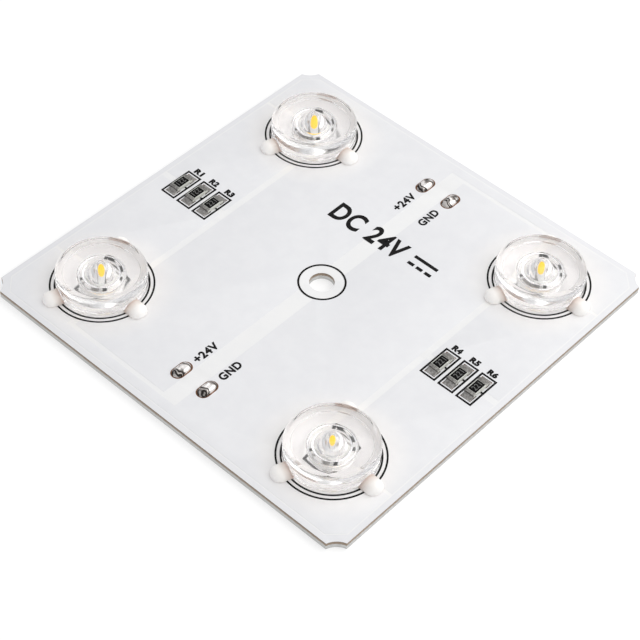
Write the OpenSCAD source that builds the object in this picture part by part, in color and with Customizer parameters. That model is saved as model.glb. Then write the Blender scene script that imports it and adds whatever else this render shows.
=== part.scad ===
// Square LED panel: four LEDs under clear lenses and six chip resistors on an
// aluminium-backed circuit board. Millimetres, +Z towards the light, origin in the
// middle of the back face. Seen from above, lens 1 is upper left, 2 upper right,
// 3 lower left and 4 lower right; resistors 1 to 3 stand left, 4 to 6 right.

/* [Board] */
// Side of the square board
board_side = 65; // [64:0.5:90]
// Thickness of the aluminium base
base_t = 1; // [0.8:0.1:3]
// Thickness of the insulating layer on the aluminium
dielectric_t = 0.15; // [0.13:0.01:0.2]
// Thickness of the copper foil
copper_t = 0.035; // [0.018:0.001:0.105]
// Thickness of the solder mask over the copper
mask_t = 0.03; // [0.015:0.005:0.06]
// Length that a corner notch takes off each edge
notch_leg = 1.85; // [1:0.05:2.5]
// Depth of a notch's arc behind its chord
notch_sag = 0.32; // [0.1:0.02:0.5]
// Diameter of the fixing hole
hole_d = 3.6; // [2.5:0.1:5]

/* [Copper] */
// Bare margin between the foil and the board's edge
copper_margin = 1; // [0.5:0.1:1.4]
// Leg of the foil's corner chamfers
copper_chamfer = 1.95; // [1.5:0.05:3]
// Width of the bare strip down the middle
centre_gap = 2.7; // [1.5:0.1:3.5]
// Width of the bare strips beside the lenses
side_gap = 1; // [0.5:0.1:1.4]
// Distance from a lens centre inwards to a side strip's middle
side_gap_offset = 2.45; // [2.3:0.05:3]
// Width of the supply rails along the top and bottom edges
rail_w = 1.45; // [1:0.05:1.6]
// Width of the bare strips beside the rails
rail_gap = 0.67; // [0.4:0.01:0.9]
// Width of the bare strips under the resistors
resistor_gap = 1.05; // [0.6:0.05:1.5]
// Radius kept free of copper round the fixing hole
hole_clear_r = 3.3; // [2.8:0.1:4]

/* [Lenses] */
// Distance between lens centres, both ways
lens_pitch = 43.3; // [40:0.1:44]
// Outer diameter of a lens
lens_d = 12.9; // [12:0.1:13.6]
// Height of a lens's straight wall
lens_wall_h = 2; // [1.8:0.05:2.8]
// Radius of a lens's rounded shoulder
lens_shoulder = 0.8; // [0.5:0.05:1.2]
// Rise of the dome above the shoulder
dome_rise = 1.4; // [0.8:0.05:2]
// Thickness of a lens over the top of its hollow
lens_skin = 0.47; // [0.4:0.01:1]
// Radius of the hollow's mouth, at the underside
mouth_r = 2.4; // [2.4:0.05:2.6]
// Radius of the hollow's wide foot, at its ledge
foot_r = 2.3; // [2.3:0.02:2.4]
// Height of the hollow's wide foot
foot_h = 0.5; // [0.45:0.05:0.7]
// Radius of the bullet-shaped hollow above the ledge
bullet_r = 1.7; // [1.4:0.05:2.2]
// Thickness of the collar round the hollow's mouth
collar_w = 0.5; // [0.3:0.05:0.6]
// Outer radius of the groove in a lens's underside
groove_r = 4.9; // [4:0.05:5.2]
// Depth of the groove in a lens's underside
groove_h = 0.58; // [0.4:0.02:1.2]
// Height of a lens's underside above the board
lens_standoff = 0.42; // [0.35:0.01:0.6]
// Radius of an ear's half-round section
ear_r = 1.35; // [1.25:0.05:1.6]
// Length of an ear beyond the wall
ear_l = 2.3; // [2.1:0.1:3]
// Depth of an ear's root inside the wall
ear_sink = 0.5; // [0.3:0.05:0.7]
// Rounding of an ear's free end
ear_round = 1.2; // [0.5:0.05:1.2]
// Direction midway between the two paired ears, in degrees
ear_middle = 304; // [290:1:320]
// Angle between the two paired ears, in degrees
ear_spread = 107; // [100:1:120]
// Direction of the single ear, in degrees
ear_single = 117; // [100:1:140]
// Thickness of the glue between an ear and the board
glue_t = 0.12; // [0.08:0.01:0.2]
// Width of the glue under an ear
glue_w = 1.6; // [1:0.1:1.8]
// Distance of the glue from the printed ring
glue_edge = 0.15; // [0.1:0.05:0.3]
// Distance of the glue from an ear's free end
glue_end = 0.45; // [0.4:0.05:0.6]

/* [LEDs] */
// Side of the square LED package
led_side = 3; // [2.8:0.05:3.2]
// Height of the LED package
led_h = 0.6; // [0.5:0.01:0.7]
// Radius of the cup's mouth
cup_r = 1.28; // [1.15:0.01:1.35]
// Radius of the cup's floor
cup_floor_r = 1.08; // [1:0.01:1.12]
// Depth of the phosphor's surface below the rim
phosphor_drop = 0.02; // [0.01:0.01:0.06]
// Thickness of the lead frame
lead_t = 0.2; // [0.12:0.01:0.25]
// Width of the two leads
lead_w = 2.4; // [2.2:0.05:2.6]
// Gap between the two leads
lead_gap = 0.3; // [0.2:0.05:0.45]
// Distance of the gap from the LED's middle
lead_split = 0.4; // [0.3:0.05:0.5]
// Side of a light-giving chip
die_side = 0.45; // [0.3:0.01:0.48]
// Height of a light-giving chip
die_h = 0.15; // [0.1:0.01:0.18]
// Gap between light-giving chips
die_gap = 0.1; // [0.05:0.01:0.13]
// Distance from the cup's middle down to the two upper chips
die_drop = 0.3; // [0.2:0.01:0.34]
// Width of the bare strip between an LED's pads
led_gap = 0.5; // [0.45:0.05:0.6]
// Length of an LED's pads beyond its sides
led_pad_out = 0.6; // [0.3:0.05:0.8]
// Height of the solder against an LED's leads
led_fillet_h = 0.15; // [0.05:0.01:0.2]

/* [Resistors] */
// Distance between neighbouring resistors
resistor_pitch = 3.13; // [2.9:0.01:3.2]
// Distance from a lens centre outwards to the middle resistor
resistor_offset = 3.25; // [3.2:0.05:3.6]
// Length of a chip resistor
chip_l = 3.2; // [3:0.05:3.4]
// Width of a chip resistor
chip_w = 1.6; // [1.4:0.05:1.65]
// Height of a chip resistor
chip_h = 0.55; // [0.45:0.01:0.65]
// Length of the end caps
cap_l = 0.5; // [0.35:0.01:0.6]
// Thickness of the end caps' metal
cap_t = 0.04; // [0.02:0.005:0.06]
// Gap between the coat and the end caps
coat_gap = 0.08; // [0.04:0.01:0.15]
// Bare ceramic beside the coat
coat_side = 0.14; // [0.05:0.01:0.25]
// Thickness of the coat
coat_t = 0.06; // [0.03:0.01:0.1]
// Width of the resistor pads
chip_pad_w = 1.75; // [1.7:0.05:1.9]
// Length of the resistor pads under the chip
chip_pad_in = 0.65; // [0.5:0.05:0.8]
// Length of the resistor pads beyond the chip
chip_pad_out = 0.78; // [0.5:0.01:0.85]
// Height of the solder against the end caps
chip_fillet_h = 0.34; // [0.2:0.01:0.42]
// Height of the soldered pieces above the mask
joint_gap = 0.03; // [0.02:0.005:0.06]

/* [Wire pads] */
// Distance of the wire pads' middles from the board's edge
wire_pad_inset = 7.4; // [6.5:0.1:10]
// Width of a wire pad
wire_pad_w = 2.05; // [1.6:0.05:2.4]
// Length of a wire pad
wire_pad_l = 3.45; // [2.6:0.05:4]
// Foil between a wire pad and the bare middle strip
wire_pad_edge = 0.03; // [0.02:0.01:0.2]
// Bare copper rim round a solder bead
wire_pad_rim = 0.12; // [0.05:0.01:0.2]
// Height of a solder bead above the copper
bead_h = 0.72; // [0.4:0.02:0.76]

/* [Print] */
// Thickness of the printed ink
print_t = 0.02; // [0.01:0.005:0.04]
// Width of the rings round the lenses
ring_line = 0.22; // [0.15:0.01:0.3]
// Clearance between a lens and the inner ring
ring_clear = 0.03; // [0.02:0.01:0.2]
// Distance from the inner ring's line to the outer ring's
ring_step = 0.67; // [0.5:0.01:0.8]
// Radius of the ring round the fixing hole, to the middle of its line
hole_ring_r = 3.33; // [3:0.01:3.6]
// Width of the ring round the fixing hole
hole_ring_line = 0.25; // [0.15:0.01:0.35]
// Width of a resistor's box
box_w = 2.58; // [2.5:0.02:2.8]
// Length of a resistor's box
box_l = 5.65; // [5.5:0.05:6]
// Width of an LED's box
led_box_w = 3.6; // [3.5:0.05:4.4]
// Length of an LED's box
led_box_l = 5.2; // [5:0.05:6.2]
// Width of the boxes' lines
box_line = 0.2; // [0.12:0.01:0.25]
// Length of the marks in the middle of a resistor's box
box_tick = 0.25; // [0.1:0.01:0.3]

/* [Hidden] */
$fn = 96;
sliver = 1;
fillet_steps = 8;
bullet_steps = 16;

LENSES = [1:4];
RESISTORS = [1:6];

// Levels of the layers, from the back face up
z_copper = base_t + dielectric_t;
z_pad = z_copper + copper_t;
z_mask = z_pad + mask_t;
z_part = z_mask + joint_gap;
z_lens = z_mask + lens_standoff;
z_ear = z_mask + glue_t;

// Corner notches: one arc through both ends of the chord
notch_chord = notch_leg * sqrt(2);
notch_r = (notch_chord * notch_chord / 4 + notch_sag * notch_sag) / (2 * notch_sag);
notch_at = (board_side - notch_leg) / sqrt(2) - notch_sag + notch_r;

// Foil
copper_edge = board_side / 2 - copper_margin;
rail_edge = copper_edge - rail_w;
lens_at = lens_pitch / 2;
side_gap_in = lens_at - side_gap_offset - side_gap / 2;

// Lens section: the dome starts where the shoulder is level
lens_r = lens_d / 2;
dome_rim_r = lens_r - lens_shoulder;
dome_rim_h = lens_wall_h + lens_shoulder;
dome_r = arc_radius(dome_rim_r, dome_rise);
lens_h = dome_rim_h + dome_rise;
hollow_h = lens_h - lens_skin;
collar_r = mouth_r + collar_w;
ear_reach = lens_r + ear_l;
ear_root = lens_r - ear_sink;
ear_angles = [ear_middle - ear_spread / 2, ear_middle + ear_spread / 2, ear_single];

// Rings, to the middle of their lines
ring_inner_r = lens_r + ring_clear + ring_line / 2;
ring_outer_r = ring_inner_r + ring_step;
glue_in = ring_outer_r + ring_line / 2 + glue_edge;
glue_out = ear_reach - glue_end;

// LED pads: the upper lead is the short one
lead_high_y = [lead_split + lead_gap / 2, led_side / 2];
lead_low_y = [-led_side / 2, lead_split - lead_gap / 2];
led_pad_high_y = [lead_split + led_gap / 2, led_side / 2];
led_pad_low_y = [-led_side / 2, lead_split - led_gap / 2];
// Places of the three chips, on the long lead
die_step = die_side + die_gap;
die_places = [[-die_step, -die_drop], [die_step, -die_drop], [0, -die_drop - die_step / 2]];

// Wire pads
wire_pad_x = centre_gap / 2 + wire_pad_edge + wire_pad_w / 2;
wire_pad_y = board_side / 2 - wire_pad_inset;
bead_w = wire_pad_w - 2 * wire_pad_rim;
bead_l = wire_pad_l - 2 * wire_pad_rim;

// Radius of the arc with this half chord and this height
function arc_radius(half, rise) = (half * half + rise * rise) / (2 * rise);

// Which side a numbered piece stands on
function lens_x(i) = i % 2 == 1 ? -lens_at : lens_at;
function lens_y(i) = i <= 2 ? lens_at : -lens_at;
function resistor_x(i) = i <= 3
    ? -lens_at - resistor_offset + (i - 2) * resistor_pitch
    : lens_at + resistor_offset + (i - 5) * resistor_pitch;

module at_lens(i) translate([lens_x(i), lens_y(i), 0]) children();
module at_resistor(i) translate([resistor_x(i), 0, 0]) children();

// A rectangle between two x and two y values
module field(x, y) translate([x[0], y[0]]) square([x[1] - x[0], y[1] - y[0]]);

// The same as a block, between two z values
module block(x, y, z) translate([0, 0, z[0]]) linear_extrude(z[1] - z[0]) field(x, y);

// A rectangle with fully round ends, long way along y
module obround(w, l) {
    square([w, l - w], center = true);
    for (s = [-1, 1]) translate([0, s * (l - w) / 2]) circle(d = w);
}

module ring(r, line) {
    difference() {
        circle(r = r + line / 2);
        circle(r = r - line / 2);
    }
}

module frame(w, l, line) {
    difference() {
        square([w, l], center = true);
        square([w - 2 * line, l - 2 * line], center = true);
    }
}

// The board seen from above, with its corner notches
module board_outline() {
    difference() {
        square(board_side, center = true);
        for (a = [45:90:315]) rotate(a) translate([notch_at, 0]) circle(r = notch_r);
    }
}

module fixing_hole() circle(d = hole_d);

// Bare strips between the foil's six areas
module copper_gaps() {
    gap_low = lead_split - led_gap / 2;
    gap_high = lead_split + led_gap / 2;
    outside = copper_edge + sliver;
    side_in = side_gap_in;
    side_out = side_gap_in + side_gap;
    half_gap = centre_gap / 2;
    field([-half_gap, half_gap], [-rail_edge, rail_edge]);
    field([-side_out, half_gap], [-rail_edge, -rail_edge + rail_gap]);
    field([-half_gap, side_out], [rail_edge - rail_gap, rail_edge]);
    field([-side_out, -side_in], [-rail_edge, lens_at + gap_high]);
    field([side_in, side_out], [-lens_at + gap_low, rail_edge]);
    for (x = [[-outside, -side_in], [side_in, outside]]) {
        field(x, [-resistor_gap / 2, resistor_gap / 2]);
        for (y = [-lens_at, lens_at]) field(x, [y + gap_low, y + gap_high]);
    }
    circle(r = hole_clear_r);
}

module copper_areas() {
    difference() {
        intersection() {
            square(2 * copper_edge, center = true);
            rotate(45) square(sqrt(2) * (2 * copper_edge - copper_chamfer), center = true);
        }
        copper_gaps();
    }
}

// Openings in the mask over the solder pads
module mask_openings() {
    for (i = LENSES) at_lens(i) {
        field([-lead_w / 2, lead_w / 2], [led_pad_high_y[0], led_pad_high_y[1] + led_pad_out]);
        field([-lead_w / 2, lead_w / 2], [led_pad_low_y[0] - led_pad_out, led_pad_low_y[1]]);
    }
    for (i = RESISTORS, s = [0, 180]) at_resistor(i) rotate(s)
        field([-chip_pad_w / 2, chip_pad_w / 2], chip_pad_y());
    for (x = [-wire_pad_x, wire_pad_x], y = [-wire_pad_y, wire_pad_y])
        translate([x, y]) obround(wire_pad_w, wire_pad_l);
}

function chip_pad_y() = [chip_l / 2 - chip_pad_in, chip_l / 2 + chip_pad_out];

module aluminium_base() {
    color("darkgray") linear_extrude(base_t) difference() {
        board_outline();
        fixing_hole();
    }
}

module dielectric_layer() {
    color("rosybrown") translate([0, 0, base_t]) linear_extrude(dielectric_t) difference() {
        board_outline();
        fixing_hole();
    }
}

module copper_foil() {
    color("peru") translate([0, 0, z_copper]) linear_extrude(copper_t) copper_areas();
}

// The mask fills the bare strips and coats the foil, level on top
module solder_mask() {
    color("whitesmoke") {
        translate([0, 0, z_copper]) linear_extrude(copper_t) difference() {
            board_outline();
            copper_areas();
            fixing_hole();
        }
        translate([0, 0, z_pad]) linear_extrude(mask_t) difference() {
            board_outline();
            mask_openings();
            fixing_hole();
        }
    }
}

module resistor_box() {
    frame(box_w, box_l, box_line);
    tick = box_w / 2 - box_line;
    for (s = [-1, 1]) translate([s * (tick - box_tick / 2), 0]) square([box_tick, box_line], center = true);
}

module legend_print() {
    color("black") translate([0, 0, z_mask]) linear_extrude(print_t) {
        for (i = LENSES) at_lens(i) {
            ring(ring_inner_r, ring_line);
            ring(ring_outer_r, ring_line);
            frame(led_box_w, led_box_l, box_line);
        }
        ring(hole_ring_r, hole_ring_line);
        for (i = RESISTORS) at_resistor(i) resistor_box();
    }
}

// Half section of a lens: straight wall, round shoulder and dome; the underside has the
// hollow over the LED and a wide groove, with a collar between them
module lens_section() {
    difference() {
        union() {
            square([lens_r, lens_wall_h]);
            square([dome_rim_r, dome_rim_h]);
            translate([dome_rim_r, lens_wall_h]) circle(r = lens_shoulder);
            intersection() {
                translate([0, lens_h - dome_r]) circle(r = dome_r);
                square([dome_rim_r, lens_h]);
            }
        }
        hollow_section();
        groove_section();
    }
}

// Half section of the groove; the collar stands in it with a half-round end
module groove_section() {
    difference() {
        field([mouth_r, groove_r], [0, groove_h]);
        field([mouth_r, collar_r], [collar_w / 2, groove_h]);
        translate([mouth_r + collar_w / 2, collar_w / 2]) circle(d = collar_w);
    }
}

// Half section of the hollow over an LED: a flared foot, a ledge and a parabola on top
module hollow_section() {
    bullet_h = hollow_h - foot_h;
    bullet = [for (k = [0:bullet_steps]) bullet_point(1 - k / bullet_steps, bullet_h)];
    polygon(concat([[0, 0], [mouth_r, 0], [mouth_r, collar_w / 2], [foot_r, foot_h]], bullet));
}

// A point of the parabola, from its foot, 1, to its tip, 0
function bullet_point(t, h) = [bullet_r * t, foot_h + h * (1 - t * t)];

// Half section of a round bar with a rounded end, along y
module ear_section(l) {
    square([ear_r, l - ear_round]);
    square([ear_r - ear_round, l]);
    intersection() {
        translate([ear_r - ear_round, l - ear_round]) circle(r = ear_round);
        square([ear_r, l]);
    }
}

module lens_ear() {
    l = ear_reach - ear_root;
    intersection() {
        translate([ear_root, 0, 0]) rotate([90, 0, 90]) rotate_extrude() ear_section(l);
        translate([0, -lens_r, 0]) cube([2 * ear_reach, lens_d, lens_d]);
    }
}

module lens(i) {
    color("lightcyan", 0.5) at_lens(i) {
        translate([0, 0, z_lens]) rotate_extrude() lens_section();
        for (a = ear_angles) rotate(a) translate([0, 0, z_ear]) lens_ear();
    }
}

module lens_glue(i) {
    color("ghostwhite") at_lens(i) for (a = ear_angles)
        rotate(a) block([glue_in, glue_out], [-glue_w / 2, glue_w / 2], [z_mask, z_ear]);
}

module led_cup(top) cylinder(h = top - lead_t, r1 = cup_floor_r, r2 = cup_r);

module lead_pair(t) {
    for (y = [lead_high_y, lead_low_y]) block([-lead_w / 2, lead_w / 2], y, [0, t]);
}

module led_body(i) {
    half = led_side / 2;
    color("white") at_lens(i) translate([0, 0, z_part]) difference() {
        block([-half, half], [-half, half], [0, led_h]);
        translate([0, 0, lead_t]) led_cup(led_h);
        lead_pair(lead_t);
    }
}

module led_leads(i) {
    color("silver") at_lens(i) translate([0, 0, z_part]) lead_pair(lead_t);
}

module die_set() {
    for (p = die_places) translate([p[0], p[1], lead_t]) linear_extrude(die_h) square(die_side, center = true);
}

module led_dice(i) {
    color("royalblue") at_lens(i) translate([0, 0, z_part]) die_set();
}

module led_phosphor(i) {
    color("gold") at_lens(i) translate([0, 0, z_part]) difference() {
        translate([0, 0, lead_t]) intersection() {
            led_cup(led_h);
            cylinder(h = led_h - lead_t - phosphor_drop, r = led_side);
        }
        die_set();
    }
}

// Solder on a pad: a slab under the piece and a hollow slope against its end face,
// from y = 0 at that face outwards. w is the pad's width, under its length below the
// piece, out its length beyond it and rise the slope's height above the slab
module solder_joint(w, under, out, rise) {
    slab = mask_t + joint_gap;
    slope = [for (k = [0:fillet_steps]) [out * k / fillet_steps, slope_z(k / fillet_steps, slab, rise)]];
    outline = concat([[-under, 0], [-under, slab], [0, slab]], slope, [[out, 0]]);
    translate([-w / 2, 0, z_pad]) rotate([90, 0, 90]) linear_extrude(w) polygon(outline);
}

// Height of the slope from the face, 0, to the pad's edge, 1
function slope_z(t, slab, rise) = mask_t + (slab + rise - mask_t) * (1 - t) * (1 - t);

module led_solder(i) {
    color("lightgray") at_lens(i) {
        translate([0, led_side / 2, 0])
            solder_joint(lead_w, led_pad_high_y[1] - led_pad_high_y[0], led_pad_out, led_fillet_h);
        rotate(180) translate([0, led_side / 2, 0])
            solder_joint(lead_w, led_pad_low_y[1] - led_pad_low_y[0], led_pad_out, led_fillet_h);
    }
}

module resistor_body(i) {
    color("linen") at_resistor(i) translate([0, 0, z_part]) ceramic_block();
}

module ceramic_block() {
    half_w = chip_w / 2;
    half_l = chip_l / 2 - cap_t;
    block([-half_w, half_w], [-half_l, half_l], [cap_t, chip_h - cap_t]);
}

module resistor_ends(i) {
    half_w = chip_w / 2;
    color("gainsboro") at_resistor(i) translate([0, 0, z_part]) for (a = [0, 180]) rotate(a) difference() {
        block([-half_w, half_w], [chip_l / 2 - cap_l, chip_l / 2], [0, chip_h]);
        ceramic_block();
    }
}

module resistor_coat(i) {
    half_w = chip_w / 2 - coat_side;
    half_l = chip_l / 2 - cap_l - coat_gap;
    top = chip_h - cap_t;
    color("black") at_resistor(i) translate([0, 0, z_part])
        block([-half_w, half_w], [-half_l, half_l], [top, top + coat_t]);
}

module resistor_solder(i) {
    color("lightgray") at_resistor(i) for (a = [0, 180])
        rotate(a) translate([0, chip_l / 2, 0])
            solder_joint(chip_pad_w, chip_pad_in, chip_pad_out, chip_fillet_h);
}

// Half section of a bead: an arc that meets the pad at the bead's edge
module bead_section() {
    r = arc_radius(bead_w / 2, bead_h);
    intersection() {
        translate([0, bead_h - r]) circle(r = r);
        square([bead_w, bead_h]);
    }
}

module solder_bead() {
    run = bead_l - bead_w;
    translate([0, run / 2, 0]) rotate([90, 0, 0]) linear_extrude(run) {
        bead_section();
        mirror([1, 0]) bead_section();
    }
    for (s = [-1, 1]) translate([0, s * run / 2, 0]) rotate_extrude() bead_section();
}

module wire_solder(y) {
    color("silver") for (x = [-wire_pad_x, wire_pad_x]) translate([x, y, z_pad]) solder_bead();
}

module wire_solder_upper() wire_solder(wire_pad_y);
module wire_solder_lower() wire_solder(-wire_pad_y);

aluminium_base();
dielectric_layer();
copper_foil();
solder_mask();
legend_print();
for (i = LENSES) {
    lens(i);
    lens_glue(i);
    led_body(i);
    led_leads(i);
    led_dice(i);
    led_phosphor(i);
    led_solder(i);
}
for (i = RESISTORS) {
    resistor_body(i);
    resistor_coat(i);
    resistor_ends(i);
    resistor_solder(i);
}
wire_solder_upper();
wire_solder_lower();
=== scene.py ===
# %% [markdown]
# # Dressing a square LED panel
# The panel is a white circuit board on an aluminium plate. Four LEDs sit under clear lenses
# near the corners, six small resistors stand in two groups, and four pads take the supply
# wires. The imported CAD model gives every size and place. This lesson loads it as a fixed frame
# and gives each piece the shape and finish that a camera sees.

import math

import bmesh
import bpy
from mathutils import Matrix, Vector, noise


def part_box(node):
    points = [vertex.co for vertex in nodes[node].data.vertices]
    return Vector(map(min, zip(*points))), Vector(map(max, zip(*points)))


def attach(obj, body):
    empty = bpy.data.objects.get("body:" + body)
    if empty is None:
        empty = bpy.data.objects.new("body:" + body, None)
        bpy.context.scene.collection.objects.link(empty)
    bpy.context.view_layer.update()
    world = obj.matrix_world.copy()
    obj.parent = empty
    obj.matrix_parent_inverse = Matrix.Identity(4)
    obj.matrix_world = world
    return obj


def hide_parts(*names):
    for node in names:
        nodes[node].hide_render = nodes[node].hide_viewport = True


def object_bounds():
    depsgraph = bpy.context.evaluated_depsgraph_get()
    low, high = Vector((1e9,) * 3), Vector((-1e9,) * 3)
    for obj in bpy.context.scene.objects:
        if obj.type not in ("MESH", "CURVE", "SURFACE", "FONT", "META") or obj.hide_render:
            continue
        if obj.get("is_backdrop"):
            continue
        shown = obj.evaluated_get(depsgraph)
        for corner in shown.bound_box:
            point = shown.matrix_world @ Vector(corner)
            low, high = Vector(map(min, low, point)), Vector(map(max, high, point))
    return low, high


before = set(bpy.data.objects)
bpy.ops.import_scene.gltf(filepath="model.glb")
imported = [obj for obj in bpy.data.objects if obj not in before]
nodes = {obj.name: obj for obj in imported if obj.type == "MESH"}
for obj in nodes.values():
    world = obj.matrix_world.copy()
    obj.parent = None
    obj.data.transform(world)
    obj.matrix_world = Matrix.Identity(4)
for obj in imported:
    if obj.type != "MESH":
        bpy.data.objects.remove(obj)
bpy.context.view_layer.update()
MM = 0.001

# %% [markdown]
# ## Levels and places
# The board is a stack: aluminium, insulating layer, copper foil and white solder mask. Later
# pieces sit on these levels, so they are read from the frame once. So are places: an LED's box
# has its lens's axis in the middle.

# %% Read levels and places
z_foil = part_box("copper_foil")[1].z
z_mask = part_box("solder_mask")[1].z


def middle(node):
    low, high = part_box(node)
    return (low + high) / 2


lens_places = [middle(f"led_body_{i}") for i in range(1, 5)]
chip_places = [middle(f"resistor_ends_{i}") for i in range(1, 7)]
print("mask at", round(z_mask / MM, 3), "mm; lens 1 at", [round(v / MM, 2) for v in lens_places[0]])

# %% [markdown]
# ## Helpers for meshes
# Most pieces are built as plain lists of points and faces, or with bmesh. Small helpers keep
# the rest short: one shows a mesh in the scene, another bakes an object with its modifiers
# into a plain mesh, and a third closes a bmesh.

# %% Mesh helpers
WELD, FINE_WELD = 1e-7, 1e-8


def show(name, data, *materials):
    """A scene object at the origin for a mesh, a curve, a lamp or a camera."""
    for material in materials:
        data.materials.append(material)
    piece = bpy.data.objects.new(name, data)
    bpy.context.scene.collection.objects.link(piece)
    return piece


def baked(piece):
    """The mesh that an object evaluates to; the object itself goes."""
    graph = bpy.context.evaluated_depsgraph_get()
    mesh = bpy.data.meshes.new_from_object(piece.evaluated_get(graph))
    mesh.name = piece.name
    bpy.data.objects.remove(piece)
    return mesh


def smooth(mesh, angle):
    """Shades a mesh smooth where faces meet below this angle, in degrees."""
    mesh.polygons.foreach_set("use_smooth", [True] * len(mesh.polygons))
    mesh.set_sharp_from_angle(angle=math.radians(angle))


def mesh_of(bm, name, angle=20):
    """Closes a bmesh into a mesh: faces outwards, smooth below the angle, in degrees."""
    bmesh.ops.remove_doubles(bm, verts=bm.verts, dist=FINE_WELD)
    bmesh.ops.recalc_face_normals(bm, faces=bm.faces)
    mesh = bpy.data.meshes.new(name)
    bm.to_mesh(mesh)
    bm.free()
    smooth(mesh, angle)
    return mesh


# %% [markdown]
# ## Helpers for nodes
# Materials, the world and Geometry Nodes all use the same kind of tree. A node is added with
# its settings and inputs in one line, where an input takes a plain value or another node's
# socket. The helpers after it cover nearly all the sums that this scene needs.

# %% Node helpers


def fill(node, inputs):
    """Links or sets inputs of a node, by name or number."""
    for key, value in dict(inputs).items():
        if isinstance(value, bpy.types.NodeSocket):
            node.id_data.links.new(value, node.inputs[key])
        else:
            node.inputs[key].default_value = value


def add_node(tree, kind, inputs=(), **settings):
    """Adds a node with its settings and inputs."""
    made = tree.nodes.new(kind)
    for key, value in settings.items():
        setattr(made, key, value)
    fill(made, inputs)
    return made


def sums(tree, operation, *values):
    """A Math node on plain values or sockets."""
    return add_node(tree, "ShaderNodeMath", enumerate(values), operation=operation).outputs[0]


def vectors(tree, operation, *values):
    """A Vector Math node; returns its outputs, of which the last is a plain value."""
    return add_node(tree, "ShaderNodeVectorMath", enumerate(values), operation=operation).outputs


def parts(tree, vector):
    """The X, Y and Z values of a vector."""
    return add_node(tree, "ShaderNodeSeparateXYZ", {0: vector}).outputs


def mapped(tree, value, low, high, start=0.0, end=1.0, **settings):
    """Maps a value's run from low to high onto start to end, and holds it beyond them."""
    limits = {"Value": value, "From Min": low, "From Max": high, "To Min": start, "To Max": end}
    return add_node(tree, "ShaderNodeMapRange", limits, **settings).outputs["Result"]


# %% [markdown]
# ## Helpers for finishes
# A finish is a node material on Object coordinates, so a pattern has its real size in metres
# and stays on the piece. Nearly all finishes here share one idea: a noise field mixes two
# near colours, a finer one varies the gloss, and a third gives a very shallow bump.
# Values that are the same all over are set on the shader itself.

# %% Finish helpers
NOISE_LOW, NOISE_HIGH = 0.3, 0.7


def empty_finish(name):
    material = bpy.data.materials.new(name)
    material.use_nodes = True
    return material, material.node_tree, material.node_tree.nodes["Principled BSDF"]


def object_place(tree):
    return add_node(tree, "ShaderNodeTexCoord").outputs["Object"]


def grain(tree, size, detail=3.0, stretch=(1, 1, 1)):
    """A noise field with spots of about this size, in millimetres; returns its value socket."""
    mapping = add_node(tree, "ShaderNodeMapping", {"Vector": object_place(tree), "Scale": stretch})
    field = add_node(tree, "ShaderNodeTexNoise", {
        "Vector": mapping.outputs["Vector"], "Scale": 1 / (size * MM), "Detail": detail})
    return field.outputs["Fac"]


def ramp(tree, value, stops):
    """Colours by value: stops are (place, colour) pairs."""
    band = add_node(tree, "ShaderNodeValToRGB", {"Fac": value})
    while len(band.color_ramp.elements) < len(stops):
        band.color_ramp.elements.new(0.5)
    for element, (at, colour) in zip(band.color_ramp.elements, stops):
        element.position = at
        element.color = (*colour, 1)
    return band.outputs["Color"]


def spread(tree, field, low, high):
    """Stretches the middle of a noise field over low to high."""
    return mapped(tree, field, NOISE_LOW, NOISE_HIGH, low, high)


def bump(tree, field, height):
    """A bump of this height, in millimetres; returns the normal socket."""
    dents = {"Strength": 1.0, "Distance": height * MM, "Height": field}
    return add_node(tree, "ShaderNodeBump", dents).outputs["Normal"]


# %% A shared finish
ONE_AT, OTHER_AT = 0.35, 0.65


def put_on(shader, **inputs):
    """Links or sets inputs of a shader; an underscore stands for a space."""
    fill(shader, {key.replace("_", " "): value for key, value in inputs.items()})


def finish(name, one, other, spots, gloss, relief=0.0, fine=0.15, stretch=(1, 1, 1), **constants):
    """Two colours in spots of a size, gloss between two roughnesses, relief in millimetres."""
    material, tree, shader = empty_finish(name)
    colour = ramp(tree, grain(tree, spots, stretch=stretch), [(ONE_AT, one), (OTHER_AT, other)])
    rough = spread(tree, grain(tree, fine * 2, stretch=stretch), *gloss)
    put_on(shader, Base_Color=colour, Roughness=rough, **constants)
    if relief:
        put_on(shader, Normal=bump(tree, grain(tree, fine, stretch=stretch), relief))
    return material


# %% [markdown]
# ## Finishes of the board
# The aluminium plate is rolled, so its grain is long in one direction. The insulating layer
# shows only as a brown line at the edge. The white mask is a satin lacquer: over the copper it
# is a shade greyer and cooler than over the bare strips, where the layer below is pale.

# %% Board finishes
aluminium = finish(
    "rolled_aluminium", (0.50, 0.50, 0.49), (0.62, 0.62, 0.61), 0.5, (0.30, 0.48),
    relief=0.006, fine=0.08, stretch=(0.06, 1, 1), Metallic=1.0)
insulation = finish(
    "brown_insulation", (0.27, 0.195, 0.135), (0.37, 0.28, 0.20), 0.35, (0.55, 0.8), relief=0.02)
copper = finish(
    "dull_copper", (0.15, 0.075, 0.042), (0.26, 0.135, 0.08), 0.25, (0.28, 0.5),
    relief=0.004, Metallic=1.0)
mask_on_foil = finish(
    "white_mask_on_foil", (0.782, 0.782, 0.800), (0.805, 0.805, 0.820), 2.2, (0.30, 0.40),
    relief=0.0035, fine=0.22, IOR=1.52)
mask_on_strip = finish(
    "white_mask_on_strip", (0.835, 0.833, 0.835), (0.85, 0.846, 0.842), 2.2, (0.30, 0.40),
    relief=0.0035, fine=0.22, IOR=1.52)
ink = finish(
    "black_ink", (0.004, 0.004, 0.004), (0.009, 0.008, 0.008), 0.2, (0.45, 0.65),
    relief=0.004, fine=0.06, Specular_IOR_Level=0.12)
board_finishes = (aluminium, insulation, copper, mask_on_foil, mask_on_strip, ink)
print("board finishes:", [m.name for m in board_finishes])

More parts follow.
